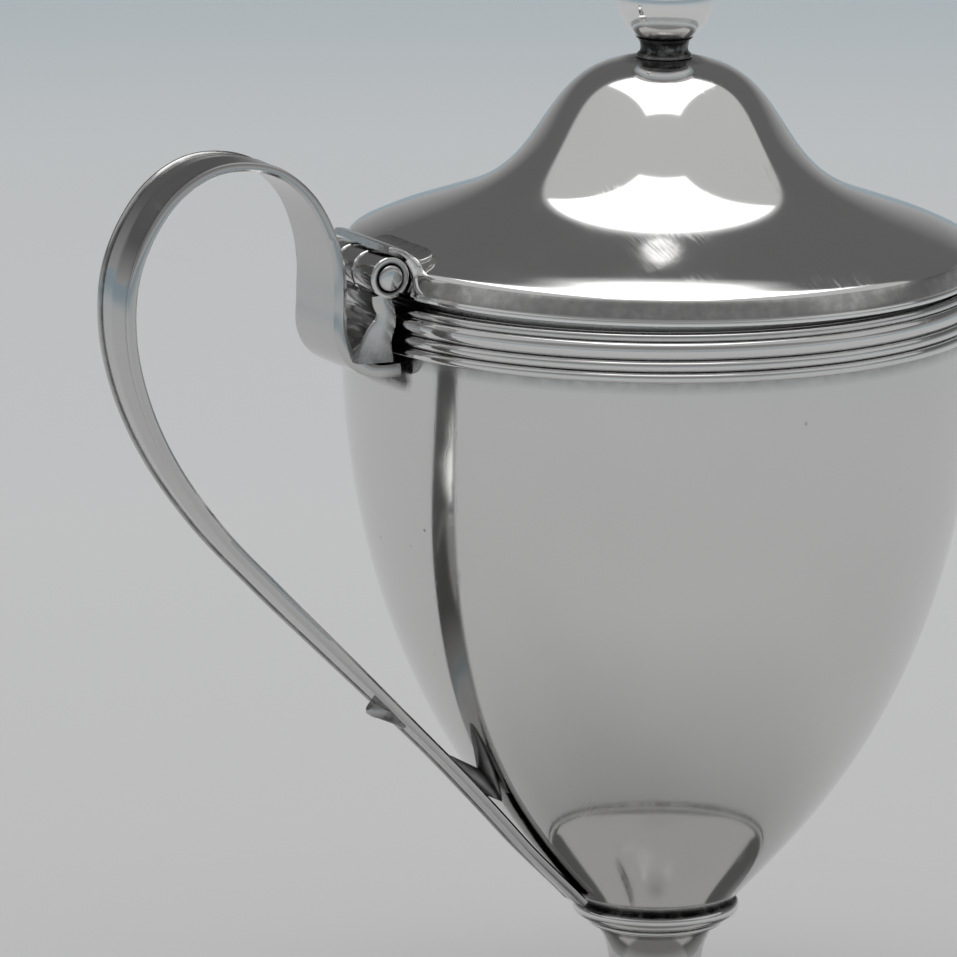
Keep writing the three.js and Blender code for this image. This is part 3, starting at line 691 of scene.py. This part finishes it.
def make_barrel():
    knuckle("hinge_tube_near", -BARREL / 2, -MIDDLE / 2 - TUBE_GAP, "vessel", place)
    knuckle("hinge_tube_far", MIDDLE / 2 + TUBE_GAP, BARREL / 2, "vessel", place)
    knuckle("hinge_tube_middle", -MIDDLE / 2, MIDDLE / 2, "cover", tip_lid)
    end = pin_high[1]
    head = ((0, 0, 0), (0.8, 0.01, 0), (1.08, 0.06, 0.05), (1.22, 0.16, 0.3), (PIN_R, 0.32, 0.95))
    outline = [(r, -end + inward) for r, inward, _ in head]
    outline += [(r, end - inward) for r, inward, _ in head[::-1]]
    marks = [mark for _, _, mark in head]
    bar("hinge_pin_peened", outline, "vessel", "hinge_pin", marks + marks[::-1], closed=False)


def plate_loft(name, line, width_of, thick_of, material, worn_of, level, body, node):
    """A bent plate: line is [x, z] along its length; widths run along Y, with rounded edges."""
    line = np.array(line, float)
    along = np.gradient(line, axis=0)
    along /= np.linalg.norm(along, axis=1)[:, None]
    normal = np.stack([along[:, 1], -along[:, 0]], 1)
    sections, worn = [], []
    last = len(line) - 1
    for i, point in enumerate(line):
        share = i / last
        half, t = width_of(share) / 2, thick_of(share) / 2
        r = min(0.35, t * 0.9, half * 0.5)
        ring = rounded([(-half, -t), (half, -t), (half, t), (-half, t)], r, 4, True)
        sections.append([(point[0] + normal[i][0] * o, y, point[1] + normal[i][1] * o) for y, o in ring])
        worn.extend([worn_of(share)] * len(ring))
    piece = loft(name, sections, material, worn, level)
    return settle(piece, body, "hinge_silver", node)


def smooth_line(points, steps=10):
    """A plate's line through a few points, with fewer stations than the strap."""
    return centripetal(points, steps)[::6]


def make_bracket():
    """The S-shaped bracket, from the strap's foot up to the tubes."""
    line = smooth_line([(PIN_X - 1.5, Z_BAND - 0.3), (PIN_X - 1.45, Z_BAND + 0.9),
                        (PIN_X - 1.15, Z_BAND + 2.2), (PIN_X - 0.5, Z_BAND + 3.5),
                        (PIN_X - 0.45, PIN_Z - 3.1), (PIN_X - 0.8, PIN_Z - 2.4),
                        (PIN_X - 0.9, PIN_Z - 1.5)])
    plate_loft("hinge_bracket_bent", line, lambda share: BARREL - 0.1,
               lambda share: 4.0 - 1.95 * min(1, share * 1.35), hinge_silver,
               lambda share: 0.55 - 0.45 * min(1, share * 2.5), place, "vessel", "hinge_bracket")


# The small web that fills the gap between the plate and the lid, as [forward of the pin, above it].
CHEEK = ((2.3, 1.65), (2.75, 0.6), (3.0, 0.1), (3.7, 0.2), (4.7, 0.8), (4.9, 1.7), (4.2, 1.4), (3.1, 1.2))


def make_leaf():
    """The hood over the tubes, and the rounded plate that lies on the lid's shoulder."""
    reach = TUBE_R + RUN_GAP + 0.325
    hood = []
    for degrees in np.linspace(-38, 92, 28):
        a = math.radians(degrees)
        hood.append((PIN_X + reach * math.cos(a), PIN_Z + reach * math.sin(a)))
    plate_loft("hinge_leaf_hood", hood, lambda share: BARREL - 0.1, lambda share: PLATE, hinge_silver,
               lambda share: 0.1 + 0.5 * max(0, 1 - share * 4), tip_lid, "cover", "hinge_leaf")
    roof = smooth_line([(PIN_X - 0.2, PIN_Z + reach), (PIN_X + 1.0, PIN_Z + 2.46),
                        (PIN_X + 2.1, PIN_Z + 1.85), (PIN_X + 3.1, PIN_Z + 1.3),
                        (PIN_X + 4.2, PIN_Z + 1.5), (PIN_X + 5.2, PIN_Z + 1.95)], 14)

    def width(share):
        corner = 0.78
        if share < corner:
            return BARREL - 0.1
        t = (share - corner) / (1 - corner)
        return (BARREL - 0.1) * (1 - 0.35 * (1 - math.sqrt(max(0, 1 - t * t))))

    plate_loft("hinge_leaf_plate", roof, width, lambda share: PLATE - 0.2 * share, lid_silver,
               lambda share: 0.3 + 0.5 * share ** 8, tip_lid, "cover", "hinge_leaf")
    outline = [(PIN_X + x, PIN_Z + z) for x, z in CHEEK]
    for name, hand in (("near", -1), ("far", 1)):
        make_horn("hinge_leaf_horn_" + name, hand)
        rings = [[(x, hand * y, z) for x, z in outline] for y in (BARREL / 2 - 0.8, BARREL / 2 - 0.2)]
        worn = [0.3] * (2 * len(outline))
        piece = loft("hinge_leaf_cheek_" + name, rings, hinge_silver, worn, tip_lid, crease=30)
        settle(piece, "cover", "hinge_silver", "hinge_leaf")


def make_horn(name, hand):
    """The curl of metal that runs from the hood's end down into the lid's edge; hand gives the side."""
    rings = []
    path = [(PIN_X + 2.0, BARREL / 2 - 0.5, PIN_Z + 1.75), (PIN_X + 2.85, BARREL / 2 - 0.4, PIN_Z + 0.9),
            (PIN_X + 3.1, BARREL / 2 - 0.2, PIN_Z - 0.2)]
    for degrees, rise in ((11.5, 0.75), (12.6, 0.35), (14, 0.12), (16, 0.02), (19, -0.03)):
        a = math.radians(degrees)
        reach = LID_R - 0.45 - 0.5 * rise
        path.append((-reach * math.cos(a), reach * math.sin(a), Z_EDGE + rise))
    flat = np.array(path)
    run = np.linspace(0, len(flat) - 1, 40)
    line = np.stack([np.interp(run, range(len(flat)), flat[:, k]) for k in range(3)], 1)
    for _ in range(12):
        line[1:-1] = (line[:-2] + 2 * line[1:-1] + line[2:]) / 4
    along = np.gradient(line, axis=0)
    along /= np.linalg.norm(along, axis=1)[:, None]
    for i, point in enumerate(line):
        share = i / (len(line) - 1)
        radius = 0.7 * (1 - share) ** 0.6 * min(1, 0.6 + 2.5 * share) + 0.08
        across = np.cross(along[i], (1, 0, 0))
        across /= np.linalg.norm(across)
        over = np.cross(across, along[i])
        ring = [point + radius * (across * math.cos(t) + over * math.sin(t))
                for t in np.linspace(0, 2 * math.pi, 16, endpoint=False)]
        rings.append([(p[0], hand * p[1], p[2]) for p in ring])
    piece = loft(name, rings, lid_silver, None, tip_lid)
    settle(piece, "cover", "hinge_silver", "hinge_leaf")


# ---- Lid -------------------------------------------------------------------------------------------
LID_WALL = 0.8
BEZEL_WALL = 0.8
BEZEL_DROP = 1.8                 # how far the bezel reaches below the lid
BEZEL_CLEARANCE = 0.6            # to the bowl's inside
# From the edge up: a sloping rim, a full shoulder, a shallow hollow and the dome, as [radius, rise].
LID_POINTS = ((31.34, -0.15), (31.3, 0.12), (31.16, 0.5), (30.96, 0.98), (30.76, 1.45), (30.55, 1.9),
              (30.25, 2.2), (29.8, 2.42), (29.0, 2.78), (27.6, 3.4), (26.0, 3.97), (24.4, 4.52),
              (22.8, 5.07), (20.7, 5.82), (18.6, 6.68), (16.6, 7.8), (14.8, 9.3), (13.2, 11.2),
              (11.8, 13.4), (10.4, 15.5), (8.8, 17.4), (6.9, 18.75), (4.8, 19.55), (2.4, 19.95),
              (0.5, 20.0))


def eased(points, steps=8):
    """A smooth line drawn towards the points: a uniform cubic B-spline."""
    p = np.array(points, float)
    t = np.linspace(0, 1, steps, endpoint=False)[:, None]
    weights = ((1 - t) ** 3, 3 * t ** 3 - 6 * t ** 2 + 4, -3 * t ** 3 + 3 * t ** 2 + 3 * t + 1, t ** 3)
    return np.vstack([sum(w * q for w, q in zip(weights, p[i:i + 4])) / 6 for i in range(len(p) - 3)])


lid_top = eased(LID_POINTS) + (0, Z_EDGE)
lid_top = lid_top[lid_top[:, 0] > 2.4]


def make_lid():
    """The raised lid and the turned bezel inside it, both notched for the hinge's barrel."""
    under = shift(lid_top, LID_WALL)
    # The inside ends clear of the edge: an outline that crosses itself would lose the lid in the cut.
    inside = (under[:, 0] > STUD_HOLE_R) & (under[:, 0] < LID_R - 1.0) & (under[:, 1] > Z_LID + 0.7)
    under = under[inside][::-1]
    edge = rounded([(LID_R - 0.9, Z_LID + 0.5), (LID_R - 0.9, Z_LID), (LID_R, Z_LID),
                    (LID_R, Z_EDGE - 0.05), lid_top[0]], 0.2)
    crown = Z_EDGE + LID_RISE
    outline = join([(STUD_HOLE_R, crown - LID_WALL)], under, edge, lid_top[1:],
                   [(STUD_HOLE_R, crown + 0.02)])
    worn = 0.85 * np.clip((outline[:, 1] - (crown - 0.35)) / 0.3, 0, 1)
    rise = outline[:, 1] - Z_EDGE
    # Painted reflection: the rim's steep wall is darkened through the tarnish mark, standing in for the
    # dark surroundings it reflects.
    worn[(outline[:, 0] > 30.55) & (rise > 0.25) & (rise < 1.85)] = 0.45
    piece = lathe("lid_raised", outline, lid_silver, worn, 360, tip_lid, closed=True)
    notch(piece)
    settle(piece, "cover", "lid_silver", "lid_dome")
    outer = BOWL_R - WALL - BEZEL_CLEARANCE
    roof = np.interp(outer, lid_top[::-1, 0], lid_top[::-1, 1]) - 1.35
    base = Z_LID - BEZEL_DROP
    ring = rounded([(outer - BEZEL_WALL, base), (outer, base), (outer, roof),
                    (outer - BEZEL_WALL, roof + 0.2)], 0.2, closed=True)
    worn = np.full(len(ring), 0.1)
    piece = lathe("lid_bezel_turned", ring, inner_silver, worn, 320, tip_lid, closed=True)
    notch(piece)
    settle(piece, "cover", "hinge_silver", "lid_bezel")


def notch(piece):
    """Cuts the room for the hinge's barrel out of a lid piece."""
    reach = TUBE_R + RUN_GAP + 0.5
    end = BARREL / 2 + 0.1
    sides = 48
    points = []
    for y in (-end, end):
        for a in np.linspace(0, 2 * math.pi, sides, endpoint=False):
            points.append((PIN_X + reach * math.cos(a), y, PIN_Z + reach * math.sin(a)))
    faces = [list(range(sides)), [sides + i for i in range(sides)][::-1]]
    faces += [[i, sides + i, sides + (i + 1) % sides, (i + 1) % sides] for i in range(sides)]
    tool = build("notch_tool", tip_lid(points), faces, piece.data.materials[0])
    outward(tool)
    cut = piece.modifiers.new("notch", "BOOLEAN")
    cut.operation = "DIFFERENCE"
    cut.solver = "EXACT"
    cut.object = tool
    bpy.context.view_layer.update()
    evaluated = piece.evaluated_get(bpy.context.evaluated_depsgraph_get())
    mesh = bpy.data.meshes.new_from_object(evaluated)
    piece.modifiers.clear()
    piece.data = mesh
    bpy.data.objects.remove(tool)
    mesh.set_sharp_from_angle(angle=math.radians(40))


# ---- Finial ----------------------------------------------------------------------------------------
Z_NECK = Z_EDGE + LID_RISE
NECK_LENGTH = 2.0                # with the gaps at both its ends
NECK_R = 2.75                    # at both ends, and at the waist between them
NECK_WAIST_R = 2.3
BALL_R = 4.7
BALL_SEAT_R = 2.7                # where the ball is cut off, on the neck and under the tip
TIP_SEAT_R = 1.5


def make_finial():
    """The neck, the ball and the tip, one above another on the stud."""
    neck_foot, neck_waist = Z_NECK + 0.05, Z_NECK + 0.8
    seat = Z_NECK + NECK_LENGTH
    centre = seat + math.sqrt(BALL_R ** 2 - BALL_SEAT_R ** 2)
    neck = join([(STUD_HOLE_R, neck_foot)],
                bezier((NECK_R, neck_foot), (NECK_R, Z_NECK + 0.35), (2.35, Z_NECK + 0.3),
                       (NECK_WAIST_R, neck_waist), 8),
                bezier((NECK_WAIST_R, neck_waist), (NECK_WAIST_R, Z_NECK + 1.35), (2.45, Z_NECK + 1.7),
                       (NECK_R, seat - 0.1), 8),
                [(STUD_HOLE_R, seat - 0.1)])
    worn = np.where(neck[:, 0] < 2.5, 0.9, 0.7)
    piece = lathe("finial_neck_turned", neck, hinge_silver, worn, 96, tip_lid, closed=True)
    settle(piece, "cover", "lid_silver", "finial_neck")

    high = math.acos(TIP_SEAT_R / BALL_R)
    arc = np.linspace(math.asin((seat - centre) / BALL_R), high, 48)
    crown = centre + BALL_R * math.sin(high)
    hole = seat + 4.4
    ball = join([(0, hole), (STUD_HOLE_R, hole), (STUD_HOLE_R, seat)],
                np.stack([BALL_R * np.cos(arc), centre + BALL_R * np.sin(arc)], 1), [(0, crown + 0.02)])
    worn = np.clip((seat + 0.35 - ball[:, 1]) / 0.35, 0, 1) * 0.9
    piece = lathe("finial_ball_turned", ball, lid_silver, worn, 160, tip_lid)
    settle(piece, "cover", "lid_silver", "finial_ball")

    base = crown + 0.1
    tip = join([(0, base)],
               bezier((1.0, base), (1.25, base + 0.3), (1.0, base + 0.5), (1.15, base + 0.75), 6),
               bezier((1.15, base + 0.75), (1.75, base + 1.2), (1.5, base + 2.5), (0, base + 2.7), 16))
    piece = lathe("finial_tip_turned", tip, lid_silver, None, 96, tip_lid)
    settle(piece, "cover", "lid_silver", "finial_tip")


def paint_kept():
    """The CAD nodes that stay in sight inside the lid."""
    for node in ("finial_stud", "finial_nut"):
        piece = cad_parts[node]
        piece.data.materials.clear()
        piece.data.materials.append(solder_silver)


# ---- Studio ----------------------------------------------------------------------------------------
def shade(value):
    """A grey as it is seen, from 0 to 255, as light."""
    value /= 255
    return ((value + 0.055) / 1.055) ** 2.4 if value > 0.04 else value / 12.92


def make_floor():
    """A wide round sheet of pale paper, in metres, painted a little bluer and darker far off for the
    fall-off of the light.
    """
    rings = (0.05, 0.1, 0.2, 0.4, 0.8, 1.6, 3, 6, 12)
    vertices, faces = [(AXIS * MM, 0, 0)], []
    sides = 96
    for r in rings:
        for a in np.linspace(0, 2 * math.pi, sides, endpoint=False):
            vertices.append((AXIS * MM + r * math.cos(a), r * math.sin(a), 0))
    for s in range(sides):
        faces.append((0, 1 + s, 1 + (s + 1) % sides))
    for k in range(len(rings) - 1):
        for s in range(sides):
            a, b = 1 + k * sides, 1 + (k + 1) * sides
            faces.append((a + s, b + s, b + (s + 1) % sides, a + (s + 1) % sides))
    material = bpy.data.materials.new("floor_paper")
    material.use_nodes = True
    tree = material.node_tree
    shader = tree.nodes["Principled BSDF"]
    shader.inputs["Roughness"].default_value = 0.9
    shader.inputs["Specular IOR Level"].default_value = 0.1
    where = tree.nodes.new("ShaderNodeTexCoord").outputs["Object"]
    length = tree.nodes.new("ShaderNodeVectorMath")
    length.operation = "LENGTH"
    link(tree, where, length.inputs[0])
    band = tree.nodes.new("ShaderNodeValToRGB")
    link(tree, length.outputs["Value"], band.inputs["Fac"])
    # Painted fall-off of the light: the paper darker and bluer with distance from the pot.
    painted_falloff_stops = ((0.0, (0.72, 0.72, 0.72)), (0.25, (0.76, 0.765, 0.77)), (0.5, (0.72, 0.745, 0.76)),
             (0.72, (0.50, 0.60, 0.65)), (1.0, (0.42, 0.52, 0.58)))
    elements = band.color_ramp.elements
    while len(elements) < len(painted_falloff_stops):
        elements.new(0.5)
    for element, (at, colour) in zip(elements, painted_falloff_stops):
        element.position = at
        element.color = (*colour, 1)
    link(tree, band.outputs["Color"], shader.inputs["Base Color"])
    floor = build("floor", vertices, faces, material)


def make_world():
    """Soft light from above: a bright panel in a pale canopy, and darker surroundings beyond it."""
    world = bpy.data.worlds.new("studio")
    bpy.context.scene.world = world
    world.use_nodes = True
    tree = world.node_tree
    back = tree.nodes["Background"]
    where = tree.nodes.new("ShaderNodeTexCoord").outputs["Generated"]

    def part(axis):
        node = tree.nodes.new("ShaderNodeVectorMath")
        node.operation = "DOT_PRODUCT"
        node.inputs[1].default_value = axis
        link(tree, where, node.inputs[0])
        return node.outputs["Value"]

    depth, across, height = part(tuple(away)), part(tuple(side)), part((0, 0, 1))
    lean = maths(tree, "ARCTAN2", depth, height)            # 0 overhead, a quarter turn at the far horizon
    spread = maths(tree, "ARCTAN2", across, height)
    sideways = maths(tree, "ABSOLUTE", spread, 0)
    canopy = ramp(tree, lean, math.radians(34), math.radians(37), 1, 0)
    canopy = maths(tree, "MULTIPLY", canopy, ramp(tree, lean, math.radians(-48), math.radians(-37), 0, 1))
    canopy = maths(tree, "MULTIPLY", canopy, ramp(tree, sideways, math.radians(68), math.radians(72), 1, 0))
    panel = ramp(tree, lean, math.radians(32), math.radians(34), 1, 0)
    panel = maths(tree, "MULTIPLY", panel, ramp(tree, lean, math.radians(-22.5), math.radians(-21), 0, 1))
    width = ramp(tree, maths(tree, "DIVIDE", depth, height), -0.4, 0.7, 0.26, 0.62)
    aside = maths(tree, "ABSOLUTE", maths(tree, "DIVIDE", across, height), 0)
    inside = maths(tree, "SUBTRACT", width, aside)
    panel = maths(tree, "MULTIPLY", panel, ramp(tree, inside, 0.0, 0.03))
    front = ramp(tree, lean, math.radians(-37), math.radians(-50), 0, 0.12)
    dusk = maths(tree, "ADD", ramp(tree, height, 0.0, 0.30, shade(165), shade(98)), front)
    light = maths(tree, "ADD", dusk, maths(tree, "MULTIPLY", canopy, shade(190) - shade(98)))
    light = maths(tree, "ADD", light, maths(tree, "MULTIPLY", panel, 1.5))
    link(tree, light, back.inputs["Color"])
    back.inputs["Strength"].default_value = 1.0

    seen = tree.nodes.new("ShaderNodeBackground")
    seen.inputs["Color"].default_value = (0.44, 0.51, 0.55, 1)
    choose = tree.nodes.new("ShaderNodeMixShader")
    rays = tree.nodes.new("ShaderNodeLightPath")
    link(tree, rays.outputs["Is Camera Ray"], choose.inputs["Fac"])
    link(tree, back.outputs["Background"], choose.inputs[1])
    link(tree, seen.outputs["Background"], choose.inputs[2])
    link(tree, choose.outputs["Shader"], tree.nodes["World Output"].inputs["Surface"])
    bpy.context.scene.view_settings.view_transform = "Standard"


make_camera()
make_floor()
make_world()
make_bowl()
make_band()
make_collar()
make_foot()
make_strap()
make_spur_and_web()
make_barrel()
make_bracket()
make_leaf()
make_lid()
make_finial()
paint_kept()
